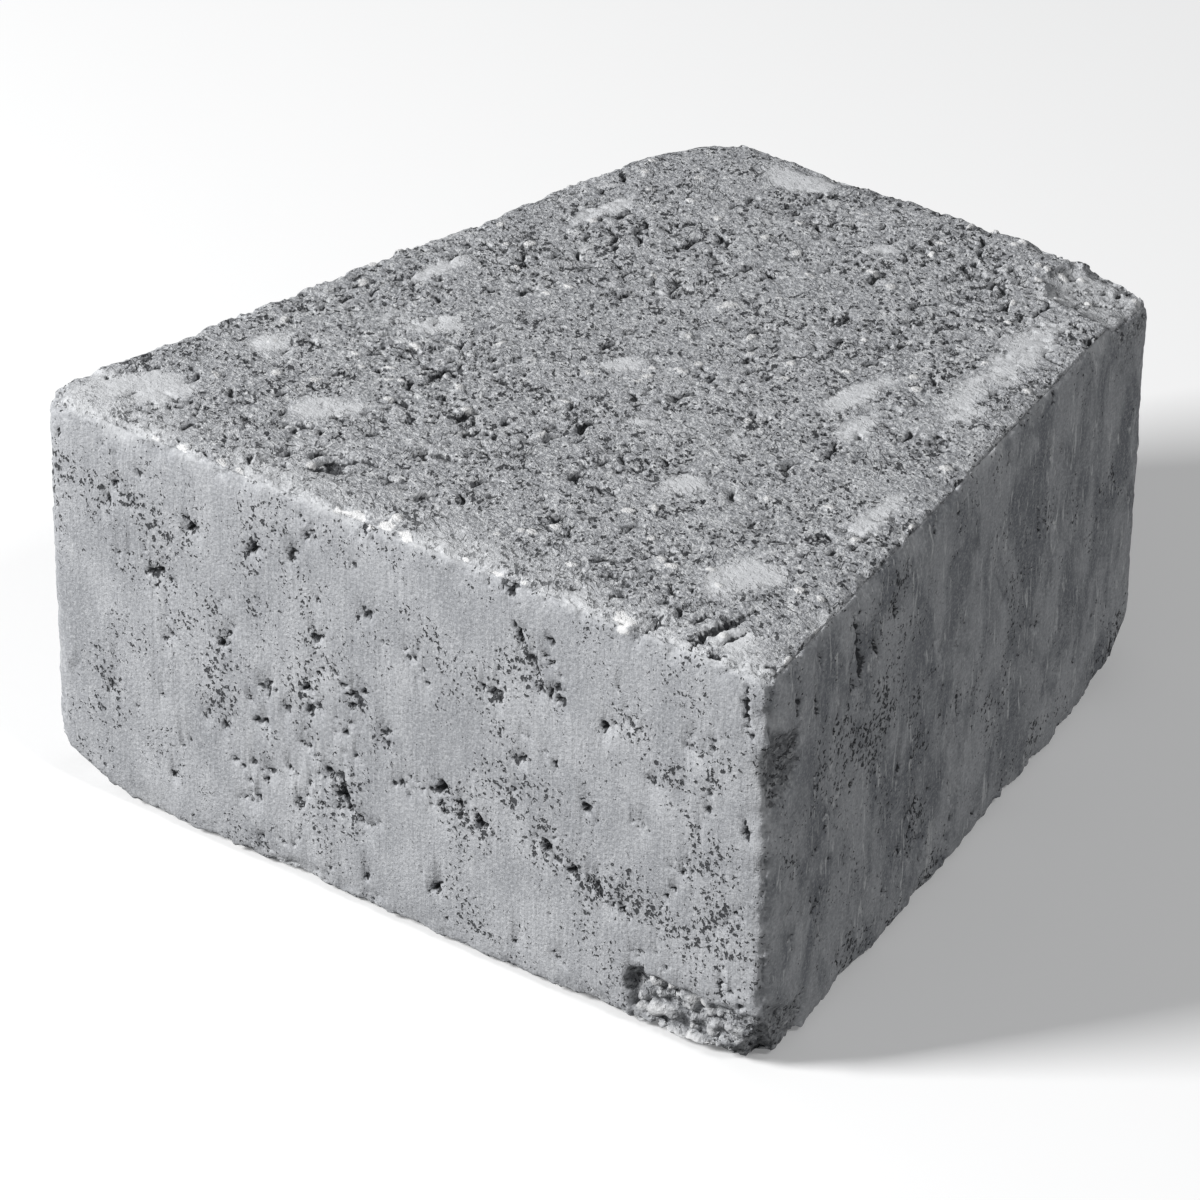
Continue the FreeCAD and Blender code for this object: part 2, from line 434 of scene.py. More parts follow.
# White chips of stone along the front top arris: (X, Y, Z, half size).
ARRIS_FLECKS = (
    (-104, -121, 121, 1.5), (-81, -122, 121, 1.4), (-72, -122, 121, 1.7), (-58, -121, 121, 1.6),
    (-49, -123, 120, 1.3), (-18, -122, 121, 1.7), (-13, -121, 121, 2.3), (-8, -123, 120, 1.6),
    (-3, -121, 121, 2.5), (5, -122, 121, 2.3), (9, -123, 120, 1.4), (35, -122, 121, 1.5),
    (43, -122, 121, 1.3), (75, -121, 121, 2.6), (76, -123, 119, 1.8), (110, -120, 121, 1.4),
)

# Long cracks and lifted grains that stand out on the top: (X, Y, radius, turn).
TOP_CRACKS = (
    (-39, -46, 4.2, 2.7), (-18, -62, 4.6, 2.9), (-13, -6, 4.0, 2.8), (-27, 21, 4.4, 2.6),
    (-33, 60, 3.6, 3.0), (20, 102, 3.2, 2.4), (40, 67, 4.4, 2.5), (14, 27, 3.6, 2.9),
    (-14, 4, 3.0, 2.6), (11, -46, 4.6, 3.1), (6, -58, 3.2, 2.8), (-14, -88, 4.4, 2.0),
    (7, -89, 3.8, 2.6), (35, -91, 3.4, 3.2), (57, -103, 4.0, 2.4), (52, -83, 3.0, 2.9),
    (20, -18, 3.8, 2.7), (21, 75, 4.2, 2.9), (-11, 57, 3.8, 2.6), (-62, -66, 3.4, 2.5),
    (-52, 6, 3.4, 2.8), (-60, 62, 3.0, 2.8), (88, 2, 3.6, 2.2), (66, -30, 3.8, 2.9),
    (48, 30, 3.2, 2.4), (-30, -107, 5.0, 2.3), (-36, -104, 4.0, 2.4), (-26, -103, 4.4, 2.1),
    (0, -104, 3.4, 2.6), (24, -70, 3.0, 2.9),
)

# Deep pockets in the top: (X, Y, half length, half width, turn, depth).
TOP_POCKETS = (
    (-28, 97, 3.6, 1.6, 0.8, 2.4), (-25, 94, 2.0, 1.2, 2.0, 2.0), (20, 100, 2.4, 1.4, 0.4, 1.8),
    (-33, -107, 6.0, 3.0, 0.7, 1.6), (89, 3, 2.2, 1.5, 0.6, 2.4), (84, 8, 1.6, 1.0, 0.6, 1.6),
    (60, -106, 3.0, 1.8, 0.4, 2.0), (68, -112, 2.6, 1.8, 0.9, 1.8), (83, -119, 1.5, 4.0, 0.1, 3.0),
    (-1, -52, 2.2, 1.4, 1.2, 1.6), (44, 68, 2.2, 1.2, 0.2, 1.6), (-12, -58, 2.4, 1.3, 2.2, 1.6),
    (38, -96, 2.4, 1.3, 1.9, 1.7), (-66, 20, 2.0, 1.2, 1.2, 1.5), (10, -92, 2.0, 1.2, 1.4, 1.6),
    (70, -52, 2.0, 1.2, 1.0, 1.5),
)

# Smooth patches scuffed onto the top: (X, Y, half length, half width, turn).
TOP_SCUFFS = (
    (75, 66, 24, 9, 1.75), (78, 30, 16, 8, 1.9), (53, 14, 15, 6, 1.3), (64, 2, 12, 5, 1.6),
    (86, -86, 14, 9, 1.4), (-57, -84, 14, 9, 1.2), (-103, -104, 16, 12, 0.9), (-38, 112, 16, 6, 0.1),
    (8, 90, 7, 3, 0.6), (-62, -24, 8, 6, 1.0), (-9, -14, 8, 5, 0.8), (46, -56, 8, 5, 0.6),
    (16, -36, 7, 4, 1.0), (62, 98, 10, 8, 0.4), (96, -40, 14, 5, 1.7), (104, -112, 12, 8, 0.5),
    (-70, 60, 16, 4, 1.4), (-92, -60, 12, 5, 1.3), (-84, 0, 16, 4, 1.4),
)

# Ragged scars scraped into the block: (face, start, end, half width, depth).
SCARS = (
    ("top", (97, -123, 122), (98, -100, 122), 1.4, 2.8),
    ("top", (99, -112, 122), (100, -97, 122), 0.8, 1.6),
    ("top", (102, -123, 122), (107, -119, 122), 1.0, 2.0),
    ("top", (103, -116, 122), (105, -106, 122), 0.8, 1.4),
    ("top", (91, -112, 122), (92, -103, 122), 0.7, 1.2),
    ("front", (116, -124, 117), (116.5, -124, 105), 0.7, 1.6),
    ("right", (116, -76, 118), (115, -69, 88), 1.1, 2.0),
    ("right", (114, -64, 103), (113, -58, 93), 1.0, 1.8),
    ("right", (112, -52, 107), (111, -48, 99), 1.0, 1.8),
    ("right", (118, -87, 84), (117, -82, 93), 0.9, 1.6),
    ("right", (122, -110, 111), (122, -106, 100), 1.1, 1.8),
    ("right", (120, -98, 104), (120, -96, 94), 0.8, 1.4),
    ("right", (104, -7, 58), (104, -6, 46), 1.0, 1.6),
    ("right", (110, -44, 55), (110, -44, 49), 1.2, 1.6),
    ("right", (95, 44, 88), (95, 46, 76), 0.9, 1.3),
)


def porous_map(points):
    """How open the visible face is, from 0 to 1, in its named patches and in a few on the other sides."""
    level = np.zeros(len(points))
    front = points[:, 1] < 5 - HALF[1]
    for x, z, half_x, half_z, tilt, strength in FRONT_POROUS:
        across, along = points[front, 0] - x, points[front, 2] - z
        u = (across * math.cos(tilt) + along * math.sin(tilt)) / half_x
        v = (along * math.cos(tilt) - across * math.sin(tilt)) / half_z
        level[front] = np.maximum(level[front], strength * np.exp(-(u**2 + v**2)))
    others = np.flatnonzero(~front)
    spread = rise(fractal(points[others], 30.0, 88, 3), 0.25, 0.9)
    level[others] = 0.8 * spread
    return level


def pale_map(points):
    """Where the top is worn pale beside the front arris, and the white chips along it."""
    worn = np.exp(-(((points[:, 1] + HALF[1]) / 12.0) ** 2)) * rise(points[:, 2], HEIGHT - 4, HEIGHT - 1)
    worn *= rise(fractal(points, 13.0, 97, 3), -0.7, 0.3)
    fleck = np.zeros(len(points))
    for number, (*centre, half) in enumerate(ARRIS_FLECKS):
        near = np.linalg.norm(points - centre, axis=1) < 2.2 * half
        here = points[near]
        inside = 1 - np.linalg.norm((here - centre) / (1.5 * half, half, half), axis=1)
        inside += 0.5 * fractal(here, 2.5, 340 + number, 2)
        fleck[near] = np.maximum(fleck[near], rise(inside, 0.0, 0.3))
    return worn, fleck


def void(face, random, centre, long, wide, turn, deep):
    """A deep hole with smaller ones crowded round its rim."""
    face.pit(*face.place(np.array(centre, float)), long, wide, turn, deep, centre[0])
    for _ in range(6):
        step = random.normal(0, 0.9 * long, 3)
        size = random.uniform(0.45, 0.95)
        place = face.place(np.array(centre) + step)
        face.pit(*place, size, size * 0.8, random.uniform(0, 3), deep * 0.45, random.uniform(0, 6))


def scar(face, random, start, end, width, deep):
    """A ragged groove: overlapping holes strewn along a line."""
    start, end = np.array(start, float), np.array(end, float)
    for share in np.arange(0, 1, 0.6 * width / np.linalg.norm(end - start)):
        spot = start + (end - start) * share + random.normal(0, 0.35 * width, 3)
        size = width * random.uniform(0.6, 1.25) * (1.1 - 0.9 * abs(2 * share - 1) ** 2)
        face.pit(*face.place(spot), 1.3 * size, size, random.uniform(0, 3), deep * random.uniform(0.6, 1.1),
                 random.uniform(0, 6))


def carve_faces(points, grids, normals):
    """Pits and cracks pressed into the six faces, then the scars: each as depth along the inward normal."""
    random = np.random.default_rng(20)
    depth, scars = np.zeros(len(points)), np.zeros(len(points))
    faces = {name: Face(grid, points, normals, depth) for name, grid in grids.items()}
    for number, (name, count) in enumerate(SIDE_PITS):
        pit_side(faces[name], random, count, 510 + number)
    for x, z, *mark in FRONT_VOIDS:
        void(faces["front"], random, (x, -HALF[1], z), *mark)
    crack_top(faces["top"], random, TOP_MARKS, 530)
    crack_top(faces["bed"], random, BED_MARKS, 540)
    for x, y, radius, turn in TOP_CRACKS:
        place = faces["top"].place(np.array((x, y, HEIGHT)))
        width, span = random.uniform(0.85, 1.15), random.uniform(0.9, 1.3)
        faces["top"].crescent(*place, 1.2 * radius, width, turn, span, 2.2)
    for x, y, *mark in TOP_POCKETS:
        void(faces["top"], random, (x, y, HEIGHT), *mark)
    for name, *mark in SCARS:
        scar(Face(grids[name], points, normals, scars), random, *mark)
    return depth, scars


def scuffed(points):
    """How smooth the top is, from 0 to 1: the named patches with cloudy rims."""
    cloud = 0.6 * fractal(points, 10.0, 91, 4, 0.6)
    level = np.zeros(len(points))
    for x, y, long, wide, turn in TOP_SCUFFS:
        away_x, away_y = points[:, 0] - x, points[:, 1] - y
        u = (away_x * math.cos(turn) + away_y * math.sin(turn)) / long
        v = (away_y * math.cos(turn) - away_x * math.sin(turn)) / wide
        level = np.maximum(level, 1.25 - np.hypot(u, v))
    return rise(level + cloud, 0.2, 0.85)


def lifted_grains(points, on_top, random):
    """Pale stones 2 to 5 mm across that stand a little out of the top. Returns their height from 0 to 1."""
    height = np.zeros(len(points))
    top = np.flatnonzero(on_top > 0.9)
    for centre in points[random.choice(top, LIFTED_GRAINS)]:
        near = top[(np.abs(points[top, :2] - centre[:2]) < 3).all(axis=1)]
        away = points[near, :2] - centre[:2]
        turn = random.uniform(0, math.pi)
        u = away @ (math.cos(turn), math.sin(turn)) / random.uniform(1.1, 2.5)
        v = away @ (-math.sin(turn), math.cos(turn)) / random.uniform(1.0, 1.9)
        height[near] = np.maximum(height[near], np.clip(1.1 - u**2 - v**2, 0, 1))
    return height


def broken_foot(points, random):
    """The spall at the foot of the visible face, by its right end, with the gravel showing in it.

    Returns its depth and how much of a pale pebble each point is.
    """
    left, top, deep = FRONT_WIDTH / 2 - 45, 19.0, 3.6
    near = (points[:, 0] > left - 4) & (points[:, 1] < 30 - HALF[1]) & (points[:, 2] < top + 12)
    here = points[near]
    ragged = 2.2 * fractal(here, 7.0, 95, 4, 0.65)
    behind = here[:, 1] + HALF[1]
    from_rim = np.minimum(here[:, 0] - left, top - here[:, 2]) + ragged
    floor = deep * rise(from_rim, -0.3, 2.0) * (1 - 0.6 * rise(here[:, 0], left + 22, left + 36))
    floor *= 1 - rise(behind, 3, 9)
    floor *= 1 - 0.45 * rise(5 - here[:, 2] + 0.5 * ragged, 0.0, 4.0)
    side_rim = np.minimum(27 - behind, 26 - 0.5 * behind - here[:, 2]) + 1.2 * ragged
    side_floor = 2.0 * rise(side_rim, 0.0, 6.0) * (1 + 0.35 * fractal(here, 4.0, 96, 3)) * rise(behind, 1, 4)
    floor = np.maximum(floor, side_floor)
    dome, light = np.zeros(len(here)), np.zeros(len(here))
    for _ in range(FOOT_PEBBLES):
        x, z = random.uniform(left + 2, FRONT_WIDTH / 2 - 4), random.uniform(0, top - 2)
        centre = np.array((x, 2.5 - HALF[1], z))
        half = random.uniform(0.9, 2.7) * np.array((random.uniform(0.9, 1.4), 1.9, random.uniform(0.7, 1.1)))
        bulge = np.clip(1 - (((here - centre) / half) ** 2).sum(axis=1), 0, 1) ** 0.5
        light = np.where(bulge > dome, random.uniform(0, 1) ** 1.5, light)
        dome = np.maximum(dome, bulge)
    depth, pebble = np.zeros(len(points)), np.zeros(len(points))
    depth[near] = floor - np.minimum(dome * 3.0, floor * 0.85) * rise(floor, 1.0, 2.2)
    pebble[near] = rise(dome, 0.1, 0.5) * rise(floor, 1.0, 2.2) * light
    return depth, pebble


# ---------------------------------------------------------------- the block's surface


def shape_block():
    """The worn surface: points, quads and the maps that the material reads."""
    box_points, quads, grids = make_lattice(HALF, LATTICE_STEP)
    points = tapered(rounded(box_points))
    from_edge = edge_distance(box_points)
    points, fresh = knock_off_corners(points)
    points, sunk = step_down(points)
    normals = normals_of(points, quads)

    upward = rise(normals[:, 2], 0.5, 0.85)
    downward = rise(-normals[:, 2], 0.5, 0.85)
    rough_face = np.maximum(upward, downward)
    side = 1 - rough_face
    at_edge = np.exp(-((from_edge / 6.0) ** 2))

    # Tumbling: arrises bruised unevenly, faces very slightly out of flat.
    bruise = fractal(points, 17.0, 41, 3)
    bruised = 0.55 + 1.5 * np.clip(bruise + 0.15, 0, None) + 0.35 * fractal(points, 3.4, 43, 2)
    depth = at_edge * bruised
    depth += at_edge * 2.3 * np.clip(fractal(points, 7.5, 47, 4, 0.65) - 0.05, 0, None)
    on_edge = np.exp(-((from_edge / 2.6) ** 2))
    depth += on_edge * 1.5 * np.clip(fractal(points, 2.8, 49, 3, 0.65) + 0.1, 0, None)
    depth += 0.45 * (0.5 + 0.5 * fractal(points, 55.0, 45, 2))
    chipped = rise(at_edge * (bruise + 0.2), 0.12, 0.5)

    # Smooth, scuffed patches interrupt the grainy top.
    random = np.random.default_rng(7)
    scuff = scuffed(points) * upward
    granular = fractal(points, 2.6, 71, 2) * 0.5 + fractal(points, 6.0, 73, 3) * 0.6
    depth += rough_face * (1 - 0.75 * scuff) * 0.65 * (0.5 + 0.5 * granular)
    depth += side * 0.10 * (0.5 + 0.5 * fractal(points, (1.8, 1.8, 9.0), 75, 2))
    grain = lifted_grains(points, upward, random)
    depth -= 0.8 * np.sqrt(grain)

    hollow = hollow_out(points, normals)
    foot, pebble = broken_foot(points, random)
    depth += np.maximum(hollow * (1 + 0.25 * fractal(points, 3.0, 81, 2)), foot)
    pits, scars = carve_faces(points, grids, normals)
    pits *= np.where(rough_face > 0.5, 1 - 0.6 * scuff, 1 - rise(foot, 0.2, 1.0))
    pits = np.maximum(pits, scars)
    depth += pits * (1 - grain)

    porous = porous_map(points)
    worn, fleck = pale_map(points)
    worn = np.maximum(worn, 0.7 * upward * rise(sunk, 1.0, 2.4))
    surface = points - normals * depth[:, None]
    surface = np.clip(surface, block_low + BOX_MARGIN, block_high - BOX_MARGIN)
    # Painted shade in the broken hollows and between the pebbles of the broken foot.
    shadowed_side = rise(hollow, 0.3, 1.4) * side
    shadowed_foot = 0.6 * rise(foot, 0.4, 1.4) * (1 - pebble)
    maps = {
        "pit": rise(pits, 0.15, 0.8),
        "rough_face": rough_face,
        "scuff": scuff,
        "broken": np.maximum(rise(np.maximum(np.maximum(hollow, foot), sunk), 0.4, 1.6), fresh),
        "chipped": chipped,
        "pebble": pebble,
        "grain": np.maximum(rise(grain, 0.1, 0.6), fleck),
        "porous": porous,
        "worn": worn,
        "hollow": np.maximum(shadowed_side, shadowed_foot),
        # The right face: painted shade in dark clouds there, and more scratches.
        "stained": rise(normals[:, 0], 0.5, 0.9),
    }
    return surface, quads, maps


def mesh_from(name, points, quads, maps):
    """A smooth-shaded mesh object in metres with the maps as point attributes."""
    mesh = bpy.data.meshes.new(name)
    mesh.vertices.add(len(points))
    mesh.vertices.foreach_set("co", (points * MM).astype(np.float32).ravel())
    mesh.loops.add(quads.size)
    mesh.loops.foreach_set("vertex_index", quads.astype(np.int32).ravel())
    mesh.polygons.add(len(quads))
    mesh.polygons.foreach_set("loop_start", np.arange(0, quads.size, 4, dtype=np.int32))
    mesh.update(calc_edges=True)
    for key, values in maps.items():
        mesh.attributes.new(key, "FLOAT", "POINT").data.foreach_set("value", values.astype(np.float32))
    mesh.shade_smooth()
    thing = bpy.data.objects.new(name, mesh)
    bpy.context.scene.collection.objects.link(thing)
    return thing


def thin_out(thing, limit):
    """Thins the mesh to the triangle limit, keeping the triangles where the surface bends most."""
    triangles = sum(len(polygon.vertices) - 2 for polygon in thing.data.polygons)
    if triangles <= limit:
        return
    thinner = thing.modifiers.new("thin", "DECIMATE")
    thinner.ratio = limit / triangles
    graph = bpy.context.evaluated_depsgraph_get()
    mesh = bpy.data.meshes.new_from_object(thing.evaluated_get(graph))
    thing.modifiers.remove(thinner)
    old, thing.data = thing.data, mesh
    bpy.data.meshes.remove(old)
    mesh.shade_smooth()


def keep_inside(thing):
    """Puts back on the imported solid's box any point that the thinning pushed past it."""
    places = np.empty(len(thing.data.vertices) * 3, np.float32)
    thing.data.vertices.foreach_get("co", places)
    low, high = (block_low + BOX_MARGIN) * MM, (block_high - BOX_MARGIN) * MM
    places = np.clip(places.reshape(-1, 3), low, high).astype(np.float32)
    thing.data.vertices.foreach_set("co", places.ravel())
    thing.data.update()


# ---------------------------------------------------------------- material

SLURRY_DARK = (0.41, 0.42, 0.44, 1)
SLURRY_LIGHT = (0.51, 0.52, 0.54, 1)
STREAK = (0.32, 0.33, 0.35, 1)
# Dark clouds: stains on every side, and painted shade on the right face.
STAIN_AND_SHADE = (0.23, 0.24, 0.26, 1)
SAND_DARK = (0.33, 0.34, 0.36, 1)
SAND_LIGHT = (0.74, 0.75, 0.76, 1)
SHADE = (0.17, 0.175, 0.185, 1)
FRESH = (0.66, 0.67, 0.68, 1)
SCUFFED = (0.66, 0.67, 0.685, 1)
PEBBLE = (0.74, 0.74, 0.74, 1)
WHITE_GRAIN = (0.80, 0.80, 0.80, 1)
# Painted shade: the near-black put into holes, pits and cracks in place of their shadow.
HOLE_SHADE = (0.03, 0.032, 0.036, 1)
RAKE = math.radians(-37)  # the grains of the top lie along the way the mould was scraped


class Nodes:
    """Short calls for building one material's node tree."""

    def __init__(self, material):
        self.tree = material.node_tree
        self.tree.nodes.clear()

    def add(self, kind, **settings):
        node = self.tree.nodes.new("ShaderNode" + kind)
        for key, value in settings.items():
            setattr(node, key, value)
        return node

    def link(self, source, target):
        self.tree.links.new(source, target)

    def put(self, value, socket):
        """Sets a socket to a number or links a node's output to it."""
        if isinstance(value, bpy.types.NodeSocket):
            self.link(value, socket)
        else:
            socket.default_value = value

    def math(self, operation, first, second=0.0, clamp=False):
        node = self.add("Math", operation=operation, use_clamp=clamp)
        self.put(first, node.inputs[0])
        if operation != "ABSOLUTE":
            self.put(second, node.inputs[1])
        return node.outputs[0]

    def times(self, *values):
        """The product of the values."""
        product = values[0]
        for value in values[1:]:
            product = self.math("MULTIPLY", product, value)
        return product

    def largest(self, *values):
        """The largest of the values."""
        most = values[0]
        for value in values[1:]:
            most = self.math("MAXIMUM", most, value)
        return most

    def ramp(self, value, start, end, low=0.0, high=1.0):
        """Maps start..end smoothly to low..high."""
        node = self.add("MapRange", interpolation_type="SMOOTHSTEP")
        self.put(value, node.inputs["Value"])
        for key, number in (("From Min", start), ("From Max", end), ("To Min", low), ("To Max", high)):
            self.put(number, node.inputs[key])
        return node.outputs["Result"]

    def attribute(self, name):
        return self.add("Attribute", attribute_name=name).outputs["Fac"]

    def noise(self, places, wavelength, detail=3.0, roughness=0.55, distortion=0.0):
        node = self.add("TexNoise", noise_dimensions="3D")
        self.link(places, node.inputs["Vector"])
        node.inputs["Scale"].default_value = 1 / (wavelength * MM)
        node.inputs["Detail"].default_value = detail
        node.inputs["Roughness"].default_value = roughness
        node.inputs["Distortion"].default_value = distortion
        return node.outputs["Fac"]

    def shaken(self, places, wavelength, amount):
        """Places pushed about by a fine noise, so whatever is drawn with them gets a ragged outline."""
        push = self.add("TexNoise", noise_dimensions="3D")
        self.link(places, push.inputs["Vector"])
        push.inputs["Scale"].default_value = 1 / (wavelength * MM)
        push.inputs["Detail"].default_value = 1.0
        moved = self.add("VectorMath", operation="MULTIPLY_ADD")
        self.link(push.outputs["Color"], moved.inputs[0])
        moved.inputs[1].default_value = (amount * MM,) * 3
        self.link(places, moved.inputs[2])
        return moved.outputs["Vector"]

    def dots(self, places, spacing, radius):
        """1 in round spots strewn a spacing apart, 0 elsewhere. The radius is a share of the spacing."""
        cells = self.add("TexVoronoi", voronoi_dimensions="3D", feature="F1")
        self.link(places, cells.inputs["Vector"])
        cells.inputs["Scale"].default_value = 1 / (spacing * MM)
        inside = self.math("SUBTRACT", radius, cells.outputs["Distance"])
        return self.math("MULTIPLY", inside, 9.0, clamp=True)

    def stretched(self, places, scale, turn=0.0):
        """Places scaled along the axes, after a turn about the upright axis."""
        turned = self.add("VectorRotate", rotation_type="Z_AXIS")
        self.link(places, turned.inputs["Vector"])
        turned.inputs["Angle"].default_value = turn
        scaled = self.add("VectorMath", operation="MULTIPLY")
        self.link(turned.outputs["Vector"], scaled.inputs[0])
        scaled.inputs[1].default_value = scale
        return scaled.outputs["Vector"]

    def mix(self, factor, first, second, blend="MIX"):
        node = self.add("Mix", data_type="RGBA", blend_type=blend, clamp_factor=True)
        self.put(factor, node.inputs["Factor"])
        self.put(first, node.inputs[6])
        self.put(second, node.inputs[7])
        return node.outputs[2]


def ragged_pores(nodes, places, wavelength, threshold):
    """1 in small uneven pores, 0 elsewhere: wherever a noise falls under the threshold."""
    field = nodes.noise(places, wavelength, 2.0, 0.6, 0.2)
    return nodes.math("MULTIPLY", nodes.math("SUBTRACT", threshold, field), 20.0, clamp=True)


def fine_cracks(nodes, places, wavelength, width):
    """1 along thin winding lines, broken into short pieces."""
    field = nodes.noise(places, wavelength, 2.0, 0.5, 0.4)
    off = nodes.math("ABSOLUTE", nodes.math("SUBTRACT", field, 0.5))
    gate = nodes.ramp(nodes.noise(places, wavelength * 1.7, 1.0), 0.52, 0.62)
    return nodes.math("MULTIPLY", nodes.ramp(off, 0.0, width, 1.0, 0.0), gate)


class Maps:
    """The mesh's maps as the material reads them, and the shares worked out from them."""

    def __init__(self, nodes):
        for name in (
            "pit", "rough_face", "broken", "chipped", "pebble", "grain", "porous", "worn", "hollow", "stained",
        ):
            setattr(self, name, nodes.attribute(name))
        self.grainy = nodes.largest(self.rough_face, nodes.times(self.broken, 0.9))
        self.smooth = nodes.math("SUBTRACT", 1.0, self.grainy, clamp=True)
        self.scuff = nodes.times(nodes.attribute("scuff"), self.rough_face)
        covered = nodes.largest(nodes.times(self.scuff, 0.85), nodes.times(self.worn, 0.55))
        self.open_top = nodes.times(self.grainy, nodes.math("SUBTRACT", 1.0, covered))


def small_holes(nodes, places, raked, maps):
    """1 in the holes too small for the mesh.

    They are pores on the sides, and gaps between grains and winding cracks on the rough faces.
    """
    ragged = nodes.shaken(places, 1.1, 2.6)
    clusters = nodes.noise(places, 15.0, 4.0, 0.62)
    openness = nodes.ramp(clusters, 0.38, 0.66, 0.07, 0.31)
    openness = nodes.math("ADD", openness, nodes.times(maps.porous, 0.32))
    openness = nodes.math("SUBTRACT", openness, nodes.times(maps.stained, 0.03))
    openness = nodes.math("MINIMUM", openness, 0.43)
    fine = nodes.dots(ragged, 1.7, openness)
    coarse = nodes.dots(ragged, 3.3, nodes.math("SUBTRACT", openness, 0.12))
    on_sides = nodes.times(nodes.largest(fine, coarse), maps.smooth)

    clearing = nodes.noise(places, 9.0, 3.0, 0.6)
    gaps = ragged_pores(nodes, raked, 1.7, nodes.ramp(clearing, 0.35, 0.65, 0.34, 0.43))
    radius = nodes.ramp(clearing, 0.36, 0.66, 0.12, 0.38)
    specks = nodes.dots(nodes.shaken(raked, 1.1, 2.6), 2.1, radius)
    cracks = nodes.times(fine_cracks(nodes, raked, 5.0, 0.035), 0.6)
    on_top = nodes.times(nodes.largest(gaps, specks, cracks), maps.open_top)

    bare = nodes.math("SUBTRACT", 1.0, nodes.largest(maps.pebble, maps.grain))
    return nodes.times(nodes.largest(on_sides, on_top), bare)


def paste_colour(nodes, places, raked, maps, sand):
    """The colour of the paste, the sand and the gravel, with stains and scrapes, painted shade on the right
    face and in the broken hollows, but without holes.
    """
    gravel = nodes.noise(raked, 2.1, 2.0, 0.6, 0.4)
    mottle = nodes.noise(places, 24.0, 4.0, 0.6, 0.6)
    blotch = nodes.noise(places, 7.0, 3.0, 0.6, 0.3)
    cloud = nodes.noise(nodes.stretched(places, (1.0, 1.0, 0.6)), 17.0, 5.0, 0.62, 0.5)
    streaks = nodes.noise(nodes.stretched(places, (1.0, 1.0, 0.06)), 1.5, 2.0, 0.5)
    scratches = nodes.noise(nodes.stretched(places, (1.0, 1.0, 0.22)), 3.2, 3.0, 0.6, 1.6)
    colour = nodes.mix(nodes.ramp(mottle, 0.32, 0.68), SLURRY_DARK, SLURRY_LIGHT)

    # The smooth sides
    share = nodes.times(nodes.ramp(streaks, 0.42, 0.72), maps.smooth, 0.30)
    colour = nodes.mix(share, colour, STREAK)
    # Dark clouds: stains on every side, and painted shade much stronger on the right face.
    strength = nodes.math("ADD", nodes.times(maps.stained, 0.85), 0.28)
    share = nodes.times(nodes.ramp(cloud, 0.40, 0.66), maps.smooth, strength)
    colour = nodes.mix(share, colour, STAIN_AND_SHADE)
    # Pale scratches, stronger on the right face.
    strength = nodes.math("ADD", nodes.times(maps.stained, 0.8), 0.25)
    share = nodes.times(nodes.ramp(scratches, 0.57, 0.70), maps.smooth, strength)
    colour = nodes.mix(share, colour, FRESH)

    # The open, grainy faces
    share = nodes.times(nodes.ramp(blotch, 0.3, 0.7, 0.1, 1.0), maps.open_top, 0.6)
    colour = nodes.mix(share, colour, SAND_DARK)
    share = nodes.times(nodes.ramp(gravel, 0.54, 0.66), maps.open_top, 0.6)
    colour = nodes.mix(share, colour, SAND_LIGHT)
    share = nodes.times(nodes.ramp(gravel, 0.34, 0.45, 1.0, 0.0), maps.open_top, 0.5)
    colour = nodes.mix(share, colour, SHADE)

    # Sand everywhere, more of it in the open faces
    strength = nodes.math("ADD", nodes.times(maps.open_top, 0.45), 0.30)
    share = nodes.times(nodes.ramp(sand, 0.50, 0.66), strength)
    colour = nodes.mix(share, colour, SAND_LIGHT)
    strength = nodes.math("ADD", nodes.times(maps.open_top, 0.35), 0.26)
    share = nodes.times(nodes.ramp(sand, 0.34, 0.48, 1.0, 0.0), strength)
    colour = nodes.mix(share, colour, SHADE)

    # Scuffs, worn and chipped places, the shadowed hollows and the pebbles in the broken foot
    scuffed_share = nodes.ramp(nodes.math("ADD", maps.scuff, nodes.times(blotch, 0.6)), 0.45, 1.15)
    colour = nodes.mix(nodes.times(scuffed_share, 0.7), colour, SCUFFED)
    pale = nodes.largest(nodes.times(maps.chipped, 0.35), nodes.times(maps.worn, 0.55))
    colour = nodes.mix(pale, colour, FRESH)
    # Painted shade in the broken hollows and between the foot's pebbles.
    share = nodes.times(maps.hollow, nodes.ramp(gravel, 0.35, 0.65, 0.85, 0.25))
    colour = nodes.mix(share, colour, SHADE)
    return nodes.mix(nodes.times(maps.pebble, 0.9), colour, PEBBLE)


def fine_relief(nodes, places, maps):
    """Relief under a millimetre, in millimetres: drag marks on the sides, grit on the rough faces."""
    drag = nodes.noise(nodes.stretched(places, (1.0, 1.0, 0.06)), 1.0, 2.0, 0.5)
    skin = nodes.noise(places, 1.0, 4.0, 0.68)
    grit = nodes.noise(places, 2.0, 4.0, 0.70)
    on_sides = nodes.math("ADD", nodes.times(drag, 0.20), nodes.times(skin, 0.45))
    on_top = nodes.times(grit, nodes.math("ADD", nodes.times(maps.open_top, 1.3), 0.35))
    return nodes.math("ADD", nodes.times(on_sides, maps.smooth), nodes.times(on_top, maps.grainy))


